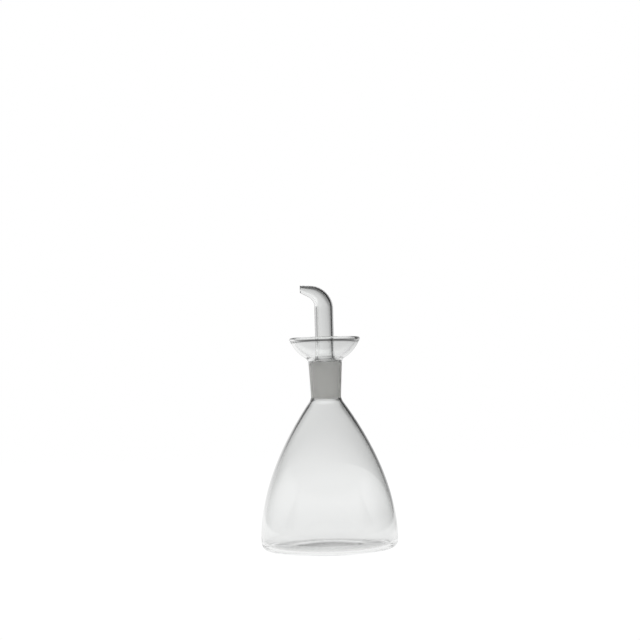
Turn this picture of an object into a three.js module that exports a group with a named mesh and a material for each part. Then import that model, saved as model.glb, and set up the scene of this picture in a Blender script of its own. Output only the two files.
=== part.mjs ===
// Glass oil cruet in two pieces of clear blown glass.
// The bottle is a bell-shaped body, a short neck ground inside as a socket, and a drip cup at the mouth.
// The pourer is a hollow ground plug that rests in the socket, a tube, and a spout that bends to -X.
// Millimetres, +Z up, origin at the centre of the base on the surface that the bottle stands on.

import * as THREE from 'three';

// Driving dimensions of the bottle.
const BODY_R = 53.6;
const WIDEST_Z = 8.8;
const SHOULDER_Z = 117.2;
const BODY_DROP = 0.716;
const BODY_SPAN = 103.2;
const BODY_POWER = 1.85;
const LOW_WALL = 1.5;
const HIGH_WALL = 2.0;
const FOOT_R = 45.8;
const FOOT_WIDTH = 2.0;
const PUNT_RISE = 3.0;
const BASE_THICK = 2.0;
const FLOOR_R = 45.4;
const FLOOR_RISE = 3.0;
const CORNER_POWER = 2.8;
const CUP_R = 29.8;
const CUP_CENTRE_Z = 174.4;
const CUP_WALL = 2.0;
const CUP_FILLET = 5.0;
const MOUTH_FLARE = 3.4;
const BEAD_R = 1.65;
const BEAD_Z = 163.6;
const RIM_R = 27.9;

// Driving dimensions of the ground joint: its radius grows by 1 in 20.
const JOINT_TOP_Z = 146.0;
const JOINT_BOTTOM_Z = 117.1;
const SOCKET_TOP_R = 11.1;
const JOINT_TAPER = 0.05;
const JOINT_GAP = 0.3;
const NECK_WALL = 2.1;

// Driving dimensions of the pourer.
const TUBE_R = 7.4;
const BORE_R = 5.5;
const PLUG_WALL = 2.4;
const PLUG_END_Z = 117.2;
const PLUG_BOTTOM_Z = PLUG_END_Z + 1.2;
const SHOULDER_STEP = 1.2;
const FLARE_TOP_Z = 156.3;
const BEND_START_Z = 188.4;
const BEND_R = 13.8;
const BEND_ANGLE = THREE.MathUtils.degToRad(74.5);
const TIP_LENGTH = 8.6;
const TIP_R = 2.75;
const TIP_BORE_R = 1.8;
const TAPER_POWER = 1.4;

// Sides of the turned shapes. Multiples of four put a corner on each of the X and Y axes.
const BOTTLE_SIDES = 44;
const POURER_SIDES = 24;

const point = (r, z) => new THREE.Vector2(r, z);

// Evenly spaced values from first to last, both included.
function steps(first, last, count) {
  return Array.from({ length: count + 1 }, (_, i) => first + (last - first) * i / count);
}

// Points on an elliptical arc about (r, z). Angles are in degrees from +r towards +z.
function arc(r, z, halfWidth, halfHeight, from, to, count) {
  return steps(from, to, count).map((degrees) => {
    const angle = THREE.MathUtils.degToRad(degrees);
    return point(r + halfWidth * Math.cos(angle), z + halfHeight * Math.sin(angle));
  });
}

// A rounded bottom corner, fuller than an ellipse, from a floor up to a side.
function corner(floorR, floorZ, sideR, sideZ, count) {
  return steps(-90, 0, count).map((degrees) => {
    const angle = THREE.MathUtils.degToRad(degrees);
    const across = Math.cos(angle) ** (2 / CORNER_POWER);
    const down = Math.abs(Math.sin(angle)) ** (2 / CORNER_POWER);
    return point(floorR + (sideR - floorR) * across, sideZ - (sideZ - floorZ) * down);
  });
}

// A smooth turn from start to end that is drawn towards the knee.
function softTurn(start, knee, end, count) {
  return new THREE.QuadraticBezierCurve(start, knee, end).getPoints(count);
}

// Outer radius of the bell at a height, from its widest place up to the shoulder.
function bellRadius(z) {
  const rise = Math.max(0, z - WIDEST_Z) / BODY_SPAN;
  return BODY_R * (1 - BODY_DROP * rise ** BODY_POWER);
}

// The bell's outer wall, shifted square to itself by a depth, at one height of the outer wall.
function bellPoint(z, depth) {
  const rise = Math.max(0, z - WIDEST_Z) / BODY_SPAN;
  const slope = BODY_R * BODY_DROP * BODY_POWER * rise ** (BODY_POWER - 1) / BODY_SPAN;
  const length = Math.hypot(1, slope);
  return point(bellRadius(z) - depth / length, z - depth * slope / length);
}

// The bell's wall, which is thinner low down.
function wallAt(z) {
  return LOW_WALL + (HIGH_WALL - LOW_WALL) * (z - WIDEST_Z) / BODY_SPAN;
}

const socketRadius = (z) => SOCKET_TOP_R - (JOINT_TOP_Z - z) * JOINT_TAPER;
const neckRadius = (z) => socketRadius(z) + NECK_WALL;
const plugRadius = (z) => socketRadius(z) - JOINT_GAP;

// The underside: a shallow punt, then the flat ring that the bottle stands on.
function underside() {
  const innerFoot = FOOT_R - FOOT_WIDTH / 2;
  return steps(0, innerFoot, 4).map((r) => point(r, PUNT_RISE * (1 - (r / innerFoot) ** 2)));
}

// The outside of the body, from the foot ring up to the neck.
function outerBody() {
  const bell = steps(WIDEST_Z, SHOULDER_Z - 2.2, 11).slice(1, -1);
  const knee = point(neckRadius(SHOULDER_Z), SHOULDER_Z + 0.1);
  const neckStart = point(neckRadius(SHOULDER_Z + 2), SHOULDER_Z + 2);
  return [
    ...corner(FOOT_R + FOOT_WIDTH / 2, 0, BODY_R, WIDEST_Z, 5),
    ...bell.map((z) => bellPoint(z, 0)),
    ...softTurn(bellPoint(SHOULDER_Z - 2.2, 0), knee, neckStart, 4),
  ];
}

// The neck's outside flows through a fillet into the bowl of the drip cup.
function outerCup() {
  const filletR = neckRadius(JOINT_TOP_Z) + CUP_FILLET;
  const reach = CUP_R + CUP_FILLET;
  const filletZ = CUP_CENTRE_Z - Math.sqrt(reach ** 2 - filletR ** 2);
  const bowlStart = THREE.MathUtils.radToDeg(Math.asin(filletR / reach)) - 90;
  const bowlEnd = THREE.MathUtils.radToDeg(Math.asin((BEAD_Z - BEAD_R - CUP_CENTRE_Z) / CUP_R));
  return [
    ...arc(filletR, filletZ, CUP_FILLET, CUP_FILLET, 180, 90 + (90 + bowlStart), 3),
    ...arc(0, CUP_CENTRE_Z, CUP_R, CUP_R, bowlStart, bowlEnd, 6).slice(1),
  ];
}

// The thickened rim, fire-polished to a round bead.
function rimBead() {
  return arc(RIM_R - BEAD_R, BEAD_Z, BEAD_R, BEAD_R, -35, 215, 7);
}

// Down the inside of the cup and through its soft mouth into the socket.
function innerCup() {
  const bowlR = CUP_R - CUP_WALL;
  const mouthR = SOCKET_TOP_R + MOUTH_FLARE;
  const bowlTop = THREE.MathUtils.radToDeg(Math.asin((BEAD_Z - BEAD_R - CUP_CENTRE_Z) / bowlR));
  const bowlBottom = THREE.MathUtils.radToDeg(Math.asin(mouthR / bowlR)) - 90;
  const bowl = arc(0, CUP_CENTRE_Z, bowlR, bowlR, bowlTop, bowlBottom, 6);
  const turnStart = bowl[bowl.length - 1];
  const knee = point(SOCKET_TOP_R, CUP_CENTRE_Z - Math.sqrt(bowlR ** 2 - SOCKET_TOP_R ** 2));
  const socketTop = point(SOCKET_TOP_R, JOINT_TOP_Z);
  return [...bowl, ...softTurn(turnStart, knee, socketTop, 4).slice(1)];
}

// Height of the floor inside, which swells to a low mound in the middle.
function floorHeight(r) {
  return BASE_THICK + FLOOR_RISE * (1 - (r / FLOOR_R) ** 2) ** 3;
}

// From the socket's lower end out into the body and down its inside to the middle of the floor.
function innerBody() {
  const socketEnd = point(socketRadius(JOINT_BOTTOM_Z + 0.8), JOINT_BOTTOM_Z + 0.8);
  const knee = point(socketRadius(JOINT_BOTTOM_Z), JOINT_BOTTOM_Z - 0.4);
  const [bellTop, ...bell] = steps(SHOULDER_Z - 4.5, WIDEST_Z + 4, 10).map((z) => bellPoint(z, wallAt(z)));
  const cornerTop = bellPoint(WIDEST_Z + 1, wallAt(WIDEST_Z + 1));
  return [
    ...softTurn(socketEnd, knee, bellTop, 4),
    ...bell,
    ...corner(FLOOR_R, BASE_THICK, cornerTop.x, cornerTop.y, 5).reverse(),
    ...steps(FLOOR_R, 0, 7).slice(1).map((r) => point(r, floorHeight(r))),
  ];
}

// A closed turned shape about Z from an outline of radii and heights.
function turned(outline, sides) {
  return new THREE.LatheGeometry(outline, sides).rotateX(Math.PI / 2);
}

function bottleGeometry() {
  const outline = [
    ...underside(),
    ...outerBody(),
    ...outerCup(),
    ...rimBead(),
    ...innerCup(),
    ...innerBody(),
  ];
  return turned(outline, BOTTLE_SIDES);
}

const spoutLength = BEND_R * BEND_ANGLE + TIP_LENGTH;

// Radius of the straight blank along the spout, from the tube's to the tip's.
function taper(rootR, tipR, along) {
  return rootR - (rootR - tipR) * (along / spoutLength) ** TAPER_POWER;
}

// The outside of the pourer before it is bent: plug, flared shoulder, tube and spout.
function pourerOutside() {
  const endR = plugRadius(PLUG_BOTTOM_Z) - 0.4;
  const shoulderZ = JOINT_TOP_Z + 0.4;
  const flareR = plugRadius(JOINT_TOP_Z) - 0.4;
  const flareHeight = FLARE_TOP_Z - shoulderZ - SHOULDER_STEP;
  return [
    ...arc(endR - 1.1, PLUG_END_Z + 1.1, 1.1, 1.1, -90, 0, 3),
    point(plugRadius(PLUG_BOTTOM_Z), PLUG_BOTTOM_Z),
    point(plugRadius(JOINT_TOP_Z), shoulderZ),
    ...arc(flareR, FLARE_TOP_Z, flareR - TUBE_R, flareHeight, 270, 180, 5),
    ...steps(0, spoutLength, 12).map((s) => point(taper(TUBE_R, TIP_R, s), BEND_START_Z + s)),
  ];
}

// The bore on the way back down, opening into the hollow of the plug.
function pourerInside() {
  const hollowTopR = plugRadius(JOINT_TOP_Z) - PLUG_WALL;
  const hollowEndR = plugRadius(PLUG_BOTTOM_Z) - PLUG_WALL;
  const hollowTopZ = JOINT_TOP_Z - 3;
  return [
    ...steps(spoutLength, 0, 12).map((s) => point(taper(BORE_R, TIP_BORE_R, s), BEND_START_Z + s)),
    ...arc(hollowTopR, FLARE_TOP_Z - 3, hollowTopR - BORE_R, 8, 180, 270, 4),
    point(hollowTopR, hollowTopZ),
    point(hollowEndR, PLUG_BOTTOM_Z),
    ...arc(hollowEndR + 1.1, PLUG_END_Z + 1.1, 1.1, 1.1, 180, 270, 3),
  ];
}

// Bends what lies above the start of the bend towards -X, and leans the tip's rim to stand upright.
function bendSpout(geometry) {
  const places = geometry.attributes.position;
  const lean = 1 / Math.tan(BEND_ANGLE);
  for (let i = 0; i < places.count; i += 1) {
    const side = places.getX(i);
    const atTip = places.getZ(i) > BEND_START_Z + spoutLength - 0.01;
    const along = places.getZ(i) - BEND_START_Z + (atTip ? side * lean : 0);
    if (along > 0) {
      const angle = Math.min(along / BEND_R, BEND_ANGLE);
      const straight = along - BEND_R * angle;
      places.setX(i, (BEND_R + side) * Math.cos(angle) - BEND_R - straight * Math.sin(angle));
      places.setZ(i, BEND_START_Z + (BEND_R + side) * Math.sin(angle) + straight * Math.cos(angle));
    }
  }
  return geometry;
}

function pourerGeometry() {
  const outline = [...pourerOutside(), ...pourerInside()];
  return bendSpout(turned([...outline, outline[0].clone()], POURER_SIDES));
}

function glass(colour) {
  return new THREE.MeshStandardMaterial({
    color: colour,
    roughness: 0.06,
    metalness: 0,
    transparent: true,
    opacity: 0.35,
  });
}

function piece(name, geometry, material) {
  const mesh = new THREE.Mesh(geometry, material);
  mesh.name = name;
  return mesh;
}

const group = new THREE.Group();
group.add(piece('bottle', bottleGeometry(), glass(0xe4e9e6)));
group.add(piece('pourer', pourerGeometry(), glass(0xdfe4e2)));

export default group;
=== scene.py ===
"""The looks of a glass oil cruet: a blown bottle with a drip cup, and a pourer with a ground plug."""

from math import asin, cos, degrees, hypot, pi, radians, sin, sqrt

import bmesh
import bpy
from mathutils import Matrix, Vector


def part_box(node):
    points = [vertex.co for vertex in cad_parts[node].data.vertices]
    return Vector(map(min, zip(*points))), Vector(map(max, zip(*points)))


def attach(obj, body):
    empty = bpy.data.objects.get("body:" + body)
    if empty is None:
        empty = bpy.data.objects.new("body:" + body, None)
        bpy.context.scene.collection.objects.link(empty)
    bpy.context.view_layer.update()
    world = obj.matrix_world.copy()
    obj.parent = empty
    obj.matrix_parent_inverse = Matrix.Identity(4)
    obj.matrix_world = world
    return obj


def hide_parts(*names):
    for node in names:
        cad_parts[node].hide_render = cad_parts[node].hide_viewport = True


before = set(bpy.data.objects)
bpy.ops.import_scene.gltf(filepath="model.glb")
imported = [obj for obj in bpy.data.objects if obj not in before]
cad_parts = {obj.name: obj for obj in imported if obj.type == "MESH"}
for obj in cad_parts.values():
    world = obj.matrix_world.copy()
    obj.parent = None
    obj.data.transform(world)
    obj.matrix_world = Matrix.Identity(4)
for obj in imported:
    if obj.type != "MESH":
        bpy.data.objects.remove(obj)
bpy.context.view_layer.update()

# Lengths are worked out in millimetres and made into metres where a mesh or a shader needs them.
MM = 0.001
_, bottle_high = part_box("bottle")
pourer_low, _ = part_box("pourer")

# The bottle's body, from the foot ring up to the shoulder.
BODY_R = bottle_high.x / MM
WIDEST_Z = 8.8
SHOULDER_Z = 117.2
BODY_DROP = 0.716
BODY_SPAN = 103.2
BODY_POWER = 1.85
LOW_WALL = 1.5
HIGH_WALL = 2.0
FOOT_R = 45.8
FOOT_WIDTH = 2.0
PUNT_RISE = 3.0
BASE_THICK = 2.0
FLOOR_R = 45.4
FLOOR_RISE = 3.0
CORNER_POWER = 2.8
INNER_CORNER_LIFT = 1.0

# How far the soft turns of the shoulder reach up the neck and down the bell, outside and inside.
TURN_UP = 2.0
TURN_DOWN = 2.2
INNER_TURN_UP = 0.8
INNER_TURN_DOWN = 4.5
INNER_KNEE_DROP = 0.4

# The drip cup and its rim.
CUP_R = 29.8
CUP_CENTRE_Z = 174.4
CUP_WALL = 2.0
CUP_FILLET = 5.0
MOUTH_FLARE = 3.4
BEAD_R = 1.65
# The solid's bead has few sides, so its top lies this much below a round one's.
BEAD_SINK = 0.08
BEAD_Z = bottle_high.z / MM - BEAD_R + BEAD_SINK
RIM_R = 27.9

# The ground joint.
JOINT_TOP_Z = 146.0
JOINT_BOTTOM_Z = 117.1
SOCKET_TOP_R = 11.1
JOINT_TAPER = 0.05
JOINT_GAP = 0.3
NECK_WALL = 2.1

# The pourer.
TUBE_R = 7.4
BORE_R = 5.5
PLUG_WALL = 2.4
PLUG_END_Z = pourer_low.z / MM
PLUG_BOTTOM_Z = PLUG_END_Z + 1.2
PLUG_ROUND = 1.1
PLUG_END_INSET = 0.4
HOLLOW_TOP_Z = JOINT_TOP_Z - 3.0
SHOULDER_EDGE = 0.4
SHOULDER_STEP = 1.2
FLARE_TOP_Z = 156.3
THROAT_TOP_Z = FLARE_TOP_Z - 2.0
BEND_START_Z = 188.4
BEND_R = 13.8
BEND_ANGLE = radians(74.5)
TIP_LENGTH = 8.6
TIP_R = 2.75
TIP_BORE_R = 1.8
TAPER_POWER = 1.4
TIP_X = pourer_low.x / MM
SPOUT_LENGTH = BEND_R * BEND_ANGLE + TIP_LENGTH

BOTTLE_SIDES = 128
POURER_SIDES = 72

# How far vertices may be apart to be welded, or from a height or a ring to count as lying on it.
WELD = 0.002
NEAR = 0.01
RING_WIDTH = 0.3

# The glass. Where it is ground, part of the light passes a rough surface and part is scattered in it. There
# it also glows faintly, a painted light that brightens the ground zone.
GLASS_IOR = 1.473
BLOWN_TINT = (0.985, 0.99, 0.987, 1.0)
DRAWN_TINT = (0.98, 0.985, 0.982, 1.0)
SATIN_TINT = (0.99, 0.985, 0.965, 1.0)
GROUND_ROUGHNESS = 0.5
GRAIN_ROUGHNESS = 0.1
GRAIN_SCALE = 900.0
GRAIN_DETAIL = 3.0
GRAIN_STRENGTH = 0.1
GRAIN_DEPTH = 0.05
# Painted light: how strongly the ground zone glows, a little less in blue.
PAINTED_GROUND_GLOW = 0.065
GLOW_BLUE = 0.96
FROSTED_SHARE = 0.5
MILKY_SHARE = 0.6
WALL_EDGE = 0.2
ZONE_EDGE = 0.25
LIGHT_TURNS = 40

# The floor's painted light, seen through the glass: it changes with the distance from the bottle, and a
# painted reflection of the black screen darkens it at the right. A change has a size, and starts and ends
# so many metres out.
WHITE = (1.0, 1.0, 1.0, 1.0)
FLOOR_SIZE = 2.4
FLOOR_WHITE = 1.02
FLOOR_LIGHT = 0.92
FLOOR_CHANGES = ((-0.04, 0.045, 0.065), (0.04, 0.2, 0.45), (-0.05, 0.7, 1.2))
PAINTED_SCREEN_REFLECTION = ((0.35, 0.12, 0.35), (0.4, 0.45, 1.1))

# The studio's light, seen through the glass. Edges and feet are where a passage starts and ends, in degrees
# to the right of the view and above level. A part of the screen has a share, two sides and a softness.
SCREEN_PARTS = ((0.3, 11.0, 100.0, 6.0), (0.65, 29.5, 86.0, 12.5))
BACKDROP_SPAN = (-66.0, 66.0, 14.0)
BACKDROP_LIGHT = 0.92
BACKDROP_CHANGES = ((-0.2, -4.5, -1.0), (-0.07, 0.0, 4.0))
LEFT_GAIN = 1.1
GAIN_CHANGES = ((-0.2, -9.0, 9.0),)
FAR_LEFT_EDGE = (-46.0, -28.0)
FAR_LEFT_FOOT = (-3.0, 1.0)
FAR_LEFT_LOSS = 0.55
UPPER_LEFT_EDGE = (-20.0, -6.0)
UPPER_LEFT_FOOT = (3.0, 8.0)
UPPER_LEFT_LOSS = 0.25
UPPER_RIGHT_EDGE = (1.0, 9.0)
UPPER_RIGHT_FOOT = (1.5, 6.0)
UPPER_RIGHT_LOSS = 0.45
WALL_LIGHT = 0.5
CEILING_LIGHT = 0.1
CEILING_START = 22.0
CEILING_DROP = 15.0
CEILING_EDGE = 8.0

# The camera stands a little over a metre in front, below the level of the rim, and is tilted slightly.
CAMERA_DISTANCE = 1067.0
CAMERA_HEIGHT = 134.0
CAMERA_PITCH = radians(2.42)
CAMERA_YAW = radians(0.17)
CAMERA_ROLL = radians(-1.5)
CAMERA_LENS = 76.0
SENSOR_WIDTH = 36.0


def spaced(first, last, count):
    """Evenly spaced values from first to last, both included."""
    return [first + (last - first) * i / count for i in range(count + 1)]


def arc(r, z, radius, start, end, count):
    """Points on an arc about (r, z). Angles are in degrees from +r towards +z."""
    angles = [radians(a) for a in spaced(start, end, count)]
    return [(r + radius * cos(a), z + radius * sin(a)) for a in angles]


def fillet(start, knee, end, count):
    """A smooth turn from start to end that is drawn towards the knee."""
    points = []
    for t in spaced(0.0, 1.0, count):
        weights = ((1 - t) ** 2, 2 * t * (1 - t), t**2)
        points.append(tuple(sum(w * p[i] for w, p in zip(weights, (start, knee, end))) for i in (0, 1)))
    return points


def corner(floor_r, floor_z, side_r, side_z, count):
    """A rounded bottom corner, fuller than an ellipse, from a floor up to a side."""
    power = 2 / CORNER_POWER
    points = []
    for a in spaced(-pi / 2, 0.0, count):
        across, down = abs(cos(a)) ** power, abs(sin(a)) ** power
        points.append((floor_r + (side_r - floor_r) * across, side_z - (side_z - floor_z) * down))
    return points


def bell_point(z, depth):
    """The bell's outer wall at a height, shifted square to itself by a depth."""
    rise = max(0.0, z - WIDEST_Z) / BODY_SPAN
    slope = BODY_R * BODY_DROP * BODY_POWER * rise ** (BODY_POWER - 1) / BODY_SPAN
    length = hypot(1, slope)
    radius = BODY_R * (1 - BODY_DROP * rise**BODY_POWER)
    return (radius - depth / length, z - depth * slope / length)


def wall_at(z):
    """The bell's wall, which is thinner low down."""
    return LOW_WALL + (HIGH_WALL - LOW_WALL) * (z - WIDEST_Z) / BODY_SPAN


def floor_height(r):
    """The floor inside, which swells to a low mound in the middle."""
    return BASE_THICK + FLOOR_RISE * (1 - (r / FLOOR_R) ** 2) ** 3


def socket_radius(z):
    return SOCKET_TOP_R - (JOINT_TOP_Z - z) * JOINT_TAPER


def neck_radius(z):
    return socket_radius(z) + NECK_WALL


def plug_radius(z):
    return socket_radius(z) - JOINT_GAP


def outside_of_body():
    """From the middle of the underside, over the foot ring and up the bell to the neck."""
    inner_foot = FOOT_R - FOOT_WIDTH / 2
    outer_foot = FOOT_R + FOOT_WIDTH / 2
    punt = [(r, PUNT_RISE * (1 - (r / inner_foot) ** 2)) for r in spaced(0.0, inner_foot, 24)]
    bell = [bell_point(z, 0) for z in spaced(WIDEST_Z, SHOULDER_Z - TURN_DOWN, 60)]
    knee = (neck_radius(SHOULDER_Z), SHOULDER_Z + 0.1)
    neck_start = (neck_radius(SHOULDER_Z + TURN_UP), SHOULDER_Z + TURN_UP)
    return [
        *punt,
        *corner(outer_foot, 0.0, BODY_R, WIDEST_Z, 20),
        *bell[1:-1],
        *fillet(bell[-1], knee, neck_start, 12),
    ]


def outside_of_cup():
    """Up the neck and through a fillet into the bowl, as far as the rim."""
    fillet_r = neck_radius(JOINT_TOP_Z) + CUP_FILLET
    reach = CUP_R + CUP_FILLET
    fillet_z = CUP_CENTRE_Z - sqrt(reach**2 - fillet_r**2)
    bowl_start = degrees(asin(fillet_r / reach)) - 90
    bowl_end = degrees(asin((BEAD_Z - BEAD_R - CUP_CENTRE_Z) / CUP_R))
    return [
        *arc(fillet_r, fillet_z, CUP_FILLET, 180, 180 + bowl_start, 12),
        *arc(0.0, CUP_CENTRE_Z, CUP_R, bowl_start, bowl_end, 24)[1:],
    ]


def rim_bead():
    return arc(RIM_R - BEAD_R, BEAD_Z, BEAD_R, -30, 210, 24)


def inside_of_cup():
    """Down the inside of the bowl and through its soft mouth into the socket."""
    bowl_r = CUP_R - CUP_WALL
    bowl_top = degrees(asin((BEAD_Z - BEAD_R - CUP_CENTRE_Z) / bowl_r))
    bowl_bottom = degrees(asin((SOCKET_TOP_R + MOUTH_FLARE) / bowl_r)) - 90
    bowl = arc(0.0, CUP_CENTRE_Z, bowl_r, bowl_top, bowl_bottom, 24)
    knee = (SOCKET_TOP_R, CUP_CENTRE_Z - sqrt(bowl_r**2 - SOCKET_TOP_R**2))
    return [*bowl[:-1], *fillet(bowl[-1], knee, (SOCKET_TOP_R, JOINT_TOP_Z), 14)]


def inside_of_body():
    """From the socket's lower end down the inside of the bell to the mound in the middle of its floor."""
    end_z = JOINT_BOTTOM_Z + INNER_TURN_UP
    knee = (socket_radius(JOINT_BOTTOM_Z), JOINT_BOTTOM_Z - INNER_KNEE_DROP)
    heights = spaced(SHOULDER_Z - INNER_TURN_DOWN, WIDEST_Z + INNER_CORNER_LIFT, 60)
    bell = [bell_point(z, wall_at(z)) for z in heights]
    turn = corner(FLOOR_R, BASE_THICK, *bell[-1], 20)[::-1]
    floor = [(r, floor_height(r)) for r in spaced(FLOOR_R, 0.0, 24)]
    return [*fillet((socket_radius(end_z), end_z), knee, bell[0], 12), *bell[1:-1], *turn, *floor[1:]]


def start_vertex(name, place):
    """A new piece that is a single vertex, in edit mode, at a place in the XZ plane."""
    bpy.ops.object.select_all(action="DESELECT")
    bpy.ops.mesh.primitive_plane_add(size=MM, location=(place[0] * MM, 0.0, place[1] * MM))
    piece = bpy.context.active_object
    piece.name = name
    piece.data.name = name
    bpy.ops.object.transform_apply(location=True, rotation=True, scale=True)
    bpy.ops.object.mode_set(mode="EDIT")
    bpy.ops.mesh.select_mode(type="VERT")
    bpy.ops.mesh.select_all(action="SELECT")
    bpy.ops.mesh.merge(type="CENTER")
    return piece


def turn_on_lathe(name, outline, sides):
    """Draws an outline vertex by vertex and spins it once about the upright axis."""
    piece = start_vertex(name, outline[0])
    for (r0, z0), (r1, z1) in zip(outline, outline[1:]):
        move = ((r1 - r0) * MM, 0.0, (z1 - z0) * MM)
        bpy.ops.mesh.extrude_vertices_move(TRANSFORM_OT_translate={"value": move})
    bpy.ops.mesh.select_all(action="SELECT")
    bpy.ops.mesh.spin(steps=sides, angle=2 * pi, center=(0, 0, 0), axis=(0, 0, 1))
    merge_doubles()
    return piece


def merge_doubles():
    bpy.ops.mesh.select_all(action="SELECT")
    bpy.ops.mesh.remove_doubles(threshold=WELD * MM)


def close_piece(piece):
    """Turns all faces outwards, leaves edit mode and shades the piece smooth."""
    merge_doubles()
    bpy.ops.mesh.normals_make_consistent(inside=False)
    bpy.ops.object.mode_set(mode="OBJECT")
    bpy.ops.object.shade_smooth()
    return piece


def select_where(piece, test):
    """Selects the vertices in the places, in millimetres, that pass a test, and what they bound."""
    bpy.ops.mesh.select_all(action="DESELECT")
    mesh = bmesh.from_edit_mesh(piece.data)
    for vertex in mesh.verts:
        vertex.select_set(test(vertex.co / MM))
    mesh.select_flush(True)
    bmesh.update_edit_mesh(piece.data)


def make_bottle():
    outline = [*outside_of_body(), *outside_of_cup(), *rim_bead(), *inside_of_cup(), *inside_of_body()]
    return close_piece(turn_on_lathe("blown_bottle", outline, BOTTLE_SIDES))


def taper(root, tip, along):
    """Radius of the spout's wall at a distance along it, from the tube's to the tip's."""
    return root - (root - tip) * min(1.0, along / SPOUT_LENGTH) ** TAPER_POWER


def draw_spout(piece, root, tip):
    """Pulls one open ring of the tube out along the bend and the straight end, with its taper."""

    def on_ring(p):
        return abs(p.z - BEND_START_Z) < NEAR and abs(hypot(p.x, p.y) - root) < RING_WIDTH

    bend_steps, tip_steps, overshoot = 40, 14, 1.3
    select_where(piece, on_ring)
    radius = root
    turn = BEND_ANGLE / bend_steps
    for i in range(1, bend_steps + 1):
        angle = turn * i
        centre = Vector((BEND_R * (cos(angle) - 1), 0.0, BEND_START_Z + BEND_R * sin(angle))) * MM
        wanted = taper(root, tip, BEND_R * angle)
        bpy.ops.mesh.extrude_edges_move(TRANSFORM_OT_translate={"value": (0, 0, 0)})
        pivot = (-BEND_R * MM, 0.0, BEND_START_Z * MM)
        bpy.ops.transform.rotate(value=turn, orient_axis="Y", center_override=pivot)
        bpy.ops.transform.resize(value=(wanted / radius,) * 3, center_override=centre)
        radius = wanted
    ahead = Vector((-sin(BEND_ANGLE), 0.0, cos(BEND_ANGLE)))
    step = TIP_LENGTH * overshoot / tip_steps
    for i in range(1, tip_steps + 1):
        centre += ahead * step * MM
        wanted = taper(root, tip, BEND_R * BEND_ANGLE + step * i)
        bpy.ops.mesh.extrude_edges_move(TRANSFORM_OT_translate={"value": ahead * step * MM})
        bpy.ops.transform.resize(value=(wanted / radius,) * 3, center_override=centre)
        radius = wanted


def finish_tip(piece):
    """Cuts the spout upright at its tip and joins its two walls there."""
    bpy.ops.mesh.select_all(action="SELECT")
    bpy.ops.mesh.bisect(plane_co=(TIP_X * MM, 0, 0), plane_no=(-1, 0, 0), clear_outer=True)
    select_where(piece, lambda p: p.x < TIP_X + NEAR)
    bpy.ops.mesh.select_mode(type="EDGE")
    bpy.ops.mesh.bridge_edge_loops()
    bpy.ops.mesh.select_mode(type="VERT")


def outside_of_pourer():
    """Up the plug's rounded end, its ground cone and the flared shoulder to the start of the bend."""
    end_r = plug_radius(PLUG_BOTTOM_Z) - PLUG_END_INSET
    flare_r = plug_radius(JOINT_TOP_Z) - SHOULDER_EDGE
    flare_z = JOINT_TOP_Z + SHOULDER_EDGE + SHOULDER_STEP
    cone = [(plug_radius(z), z) for z in spaced(PLUG_BOTTOM_Z, JOINT_TOP_Z, 12)]
    step = fillet(cone[-1], (plug_radius(JOINT_TOP_Z), flare_z), (flare_r - 0.8, flare_z + 0.1), 6)
    flare = fillet(step[-1], (TUBE_R + 0.1, flare_z + 0.6), (TUBE_R, FLARE_TOP_Z), 16)
    return [
        *arc(end_r - PLUG_ROUND, PLUG_END_Z + PLUG_ROUND, PLUG_ROUND, -90, 0, 8),
        *cone,
        *step[1:],
        *flare[1:],
        *[(TUBE_R, z) for z in spaced(FLARE_TOP_Z, BEND_START_Z, 8)[1:]],
    ]


def inside_of_pourer():
    """Up the plug's hollow and the bore, from the rounded end to the start of the bend."""
    end_r = plug_radius(PLUG_BOTTOM_Z) - PLUG_WALL
    top_r = plug_radius(JOINT_TOP_Z) - PLUG_WALL
    hollow = [(end_r, PLUG_BOTTOM_Z), (top_r, HOLLOW_TOP_Z)]
    neck = fillet(hollow[-1], (top_r + 0.1, HOLLOW_TOP_Z + 4), (BORE_R + 0.7, HOLLOW_TOP_Z + 6), 10)
    throat = fillet(neck[-1], (BORE_R, HOLLOW_TOP_Z + 7), (BORE_R, THROAT_TOP_Z), 8)
    return [
        *arc(end_r + PLUG_ROUND, PLUG_END_Z + PLUG_ROUND, PLUG_ROUND, 270, 180, 8),
        *hollow,
        *neck[1:],
        *throat[1:],
        *[(BORE_R, z) for z in spaced(THROAT_TOP_Z, BEND_START_Z, 8)[1:]],
    ]


def make_pourer():
    """The upright part is turned in one go, from the bend down, round the plug's end and up the bore."""
    outline = [*outside_of_pourer()[::-1], *inside_of_pourer()]
    piece = turn_on_lathe("drawn_pourer", outline, POURER_SIDES)
    draw_spout(piece, TUBE_R, TIP_R)
    draw_spout(piece, BORE_R, TIP_BORE_R)
    finish_tip(piece)
    return close_piece(piece)


class Wire:
    """An output socket that Python's arithmetic signs work on, by adding Math nodes to its tree."""

    def __init__(self, tree, socket):
        self.tree = tree
        self.socket = socket

    def maths(self, operation, *values):
        return self.tree.node("ShaderNodeMath", {"operation": operation}, dict(enumerate(values))).out(0)

    def __add__(self, other):
        return self.maths("ADD", self, other)

    def __radd__(self, other):
        return self.maths("ADD", other, self)

    def __sub__(self, other):
        return self.maths("SUBTRACT", self, other)

    def __rsub__(self, other):
        return self.maths("SUBTRACT", other, self)

    def __mul__(self, other):
        return self.maths("MULTIPLY", self, other)

    def __rmul__(self, other):
        return self.maths("MULTIPLY", other, self)

    def __pow__(self, other):
        return self.maths("POWER", self, other)

    def smooth_step(self, low, high):
        """0 below low, 1 above high, and a soft passage between."""
        settings = {"interpolation_type": "SMOOTHSTEP"}
        inputs = {0: self, 1: low, 2: high, 3: 0.0, 4: 1.0}
        return self.tree.node("ShaderNodeMapRange", settings, inputs).out(0)


class Step:
    """One node of a tree."""

    def __init__(self, tree, made):
        self.tree = tree
        self.made = made

    def out(self, name):
        return Wire(self.tree, self.made.outputs[name])


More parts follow.
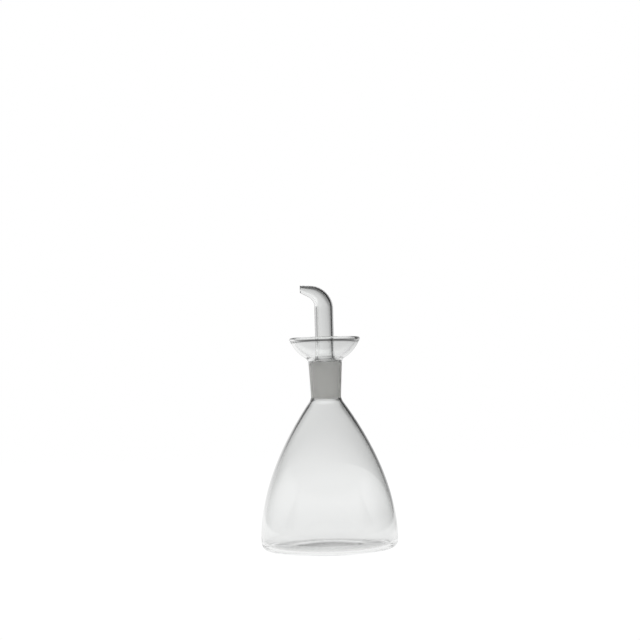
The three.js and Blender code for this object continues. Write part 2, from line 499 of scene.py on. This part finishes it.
class Tree:
    """A node tree that starts empty."""

    def __init__(self, owner):
        owner.use_nodes = True
        self.inner = owner.node_tree
        self.inner.nodes.clear()

    def node(self, kind, settings=None, inputs=None):
        """Adds a node, sets it up, and fills its inputs with values or links."""
        made = self.inner.nodes.new(kind)
        for name, value in (settings or {}).items():
            setattr(made, name, value)
        for name, value in (inputs or {}).items():
            if isinstance(value, Wire):
                self.inner.links.new(value.socket, made.inputs[name])
            else:
                made.inputs[name].default_value = value
        return Step(self, made)


def place_wires(tree, kind):
    """Where a point is, as one wire and as its three parts: in metres on a piece, or a direction."""
    where = tree.node("ShaderNodeTexCoord").out(kind)
    parts = tree.node("ShaderNodeSeparateXYZ", inputs={0: where})
    return where, parts.out(0), parts.out(1), parts.out(2)


def from_axis(x, y):
    """The distance from the upright axis."""
    return (x * x + y * y) ** 0.5


def turned(x, y):
    """How far a direction, or a place on the floor, is turned from the view's, in degrees to the right."""
    return x.maths("ARCTAN2", x, y) * (180 / pi)


def between(wire, low, high, soft):
    """A mask that is 1 between two values, with soft ends."""
    return wire.smooth_step(low - soft, low + soft) * (1 - wire.smooth_step(high - soft, high + soft))


def changes(wire, steps):
    """The sum of soft steps along a wire. Each has a size, a start and an end."""
    return sum(size * wire.smooth_step(start, end) for size, start, end in steps)


def glass_material(name, tint, ground_mask):
    """Clear glass that is satin where the mask says that it is ground, and glows faintly there with painted
    light.
    """
    material = bpy.data.materials.new(name)
    tree = Tree(material)
    where, x, y, height = place_wires(tree, "Object")
    ground = ground_mask(from_axis(x, y), height)
    noise = {"Vector": where, "Scale": GRAIN_SCALE, "Detail": GRAIN_DETAIL}
    grain = tree.node("ShaderNodeTexNoise", inputs=noise).out(0)
    relief = {"Strength": GRAIN_STRENGTH, "Distance": GRAIN_DEPTH * MM, "Height": grain * ground}
    # Painted light: the ground zone glows faintly, a little less in blue, to brighten it.
    painted_glow = ground * PAINTED_GROUND_GLOW
    painted_glow_colour = {0: painted_glow, 1: painted_glow, 2: painted_glow * GLOW_BLUE}
    clear = tree.node(
        "ShaderNodeBsdfPrincipled",
        inputs={
            "Base Color": tint,
            "Roughness": ground * (GROUND_ROUGHNESS + grain * GRAIN_ROUGHNESS),
            "IOR": GLASS_IOR,
            "Transmission Weight": 1.0,
            "Emission Color": tree.node("ShaderNodeCombineXYZ", inputs=painted_glow_colour).out(0),
            "Emission Strength": 1.0,
            "Normal": tree.node("ShaderNodeBump", inputs=relief).out(0),
        },
    ).out(0)
    satin = tree.node("ShaderNodeBsdfDiffuse", inputs={"Color": SATIN_TINT}).out(0)
    milky = tree.node("ShaderNodeBsdfTranslucent", inputs={"Color": SATIN_TINT}).out(0)
    frosted = tree.node("ShaderNodeMixShader", inputs={0: MILKY_SHARE, 1: satin, 2: milky}).out(0)
    surface = tree.node("ShaderNodeMixShader", inputs={0: ground * FROSTED_SHARE, 1: clear, 2: frosted})
    tree.node("ShaderNodeOutputMaterial", inputs={0: surface.out(0)})
    return material


def outside_cone(radius, height, offset):
    """1 outside a cone that has the joint's taper and stands off the socket's wall, and 0 inside it."""
    wall = (SOCKET_TOP_R - JOINT_TOP_Z * JOINT_TAPER + offset) * MM
    return (radius - height * JOINT_TAPER).smooth_step(wall - WALL_EDGE * MM, wall + WALL_EDGE * MM)


def joint_zone(height):
    return between(height, JOINT_BOTTOM_Z * MM, JOINT_TOP_Z * MM, ZONE_EDGE * MM)


def socket_mask(radius, height):
    """The inside of the neck, from the socket's lower end to its mouth."""
    return joint_zone(height) * (1 - outside_cone(radius, height, NECK_WALL / 2))


def plug_mask(radius, height):
    """The outside of the plug's cone."""
    return joint_zone(height) * outside_cone(radius, height, -JOINT_GAP - PLUG_WALL / 2)


def dress(piece, material, node):
    """Gives a piece its material and its place in the frame."""
    piece.data.materials.clear()
    piece.data.materials.append(material)
    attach(piece, "root")
    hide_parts(node)


def right_screen(turn):
    """How much of the light is missing towards the right, where a black screen stands."""
    return sum(share * between(turn, low, high, soft) for share, low, high, soft in SCREEN_PARTS)


def white_where_seen(tree, light, white):
    """A light's strength: white where the camera sees it directly, and as given where the glass does."""
    seen = tree.node("ShaderNodeLightPath").out("Is Camera Ray")
    return light * (1 - seen) + white * seen


def make_floor():
    """A pale floor that glows, without hard shadows. Seen through the glass its painted light is dimmer and
    changes with the distance from the bottle, most of all at the right, where a painted reflection of the
    black screen darkens it.
    """
    bpy.ops.object.select_all(action="DESELECT")
    bpy.ops.mesh.primitive_plane_add(size=FLOOR_SIZE, location=(0, 0, 0))
    floor = bpy.context.active_object
    floor.name = "pale_floor"
    material = bpy.data.materials.new("pale_floor")
    tree = Tree(material)
    _, x, y, _ = place_wires(tree, "Object")
    away = from_axis(x, y)
    # Painted light: the floor's glow changes with the distance from the bottle, and a painted reflection of
    # the black screen darkens it at the right.
    light = FLOOR_LIGHT + changes(away, FLOOR_CHANGES)
    light = light * (1 - right_screen(turned(x, y)) * changes(away, PAINTED_SCREEN_REFLECTION))
    strength = white_where_seen(tree, light, FLOOR_WHITE)
    glow = tree.node("ShaderNodeEmission", inputs={"Color": WHITE, "Strength": strength})
    tree.node("ShaderNodeOutputMaterial", inputs={0: glow.out(0)})
    floor.data.materials.append(material)


def studio_light():
    """A pale backdrop, darker towards a black screen at its right, with grey walls and a dark ceiling."""
    world = bpy.data.worlds.new("studio")
    bpy.context.scene.world = world
    tree = Tree(world)
    _, x, y, z = place_wires(tree, "Generated")
    turn = turned(x, y)
    rise = z.maths("ARCSINE", z) * (180 / pi)
    far_left = (1 - turn.smooth_step(*FAR_LEFT_EDGE)) * rise.smooth_step(*FAR_LEFT_FOOT)
    upper_left = (1 - turn.smooth_step(*UPPER_LEFT_EDGE)) * rise.smooth_step(*UPPER_LEFT_FOOT)
    upper_right = turn.smooth_step(*UPPER_RIGHT_EDGE) * rise.smooth_step(*UPPER_RIGHT_FOOT)
    backdrop = BACKDROP_LIGHT + changes(rise, BACKDROP_CHANGES)
    backdrop = backdrop * (LEFT_GAIN + changes(turn, GAIN_CHANGES))
    backdrop = backdrop * (1 - FAR_LEFT_LOSS * far_left)
    backdrop = backdrop * (1 - UPPER_LEFT_LOSS * upper_left) * (1 - UPPER_RIGHT_LOSS * upper_right)
    ahead = between(turn, *BACKDROP_SPAN)
    walls = WALL_LIGHT * (1 - ahead) + backdrop * ahead
    ceiling = (rise - (CEILING_START - CEILING_DROP * ahead)).smooth_step(0.0, CEILING_EDGE)
    light = (walls * (1 - ceiling) + CEILING_LIGHT * ceiling) * (1 - right_screen(turn))
    strength = white_where_seen(tree, light, 1.0)
    glow = tree.node("ShaderNodeBackground", inputs={"Color": WHITE, "Strength": strength})
    tree.node("ShaderNodeOutputWorld", inputs={0: glow.out(0)})


def make_camera():
    bpy.ops.object.camera_add()
    camera = bpy.context.active_object
    camera.name = "camera"
    turn = Matrix.Rotation(CAMERA_YAW, 4, "Z") @ Matrix.Rotation(pi / 2 + CAMERA_PITCH, 4, "X")
    place = Matrix.Translation(Vector((0.0, -CAMERA_DISTANCE, CAMERA_HEIGHT)) * MM)
    camera.matrix_world = place @ turn @ Matrix.Rotation(CAMERA_ROLL, 4, "Z")
    camera.data.sensor_width = SENSOR_WIDTH
    camera.data.lens = CAMERA_LENS
    camera.data.clip_start = 0.01
    bpy.context.scene.camera = camera


make_camera()
bpy.context.scene.view_settings.view_transform = "Standard"
# Light turns many times inside thick glass before it leaves it.
light_paths = bpy.context.scene.cycles
light_paths.max_bounces = LIGHT_TURNS
light_paths.transmission_bounces = LIGHT_TURNS
light_paths.glossy_bounces = LIGHT_TURNS
dress(make_bottle(), glass_material("blown_glass", BLOWN_TINT, socket_mask), "bottle")
dress(make_pourer(), glass_material("drawn_glass", DRAWN_TINT, plug_mask), "pourer")
make_floor()
studio_light()
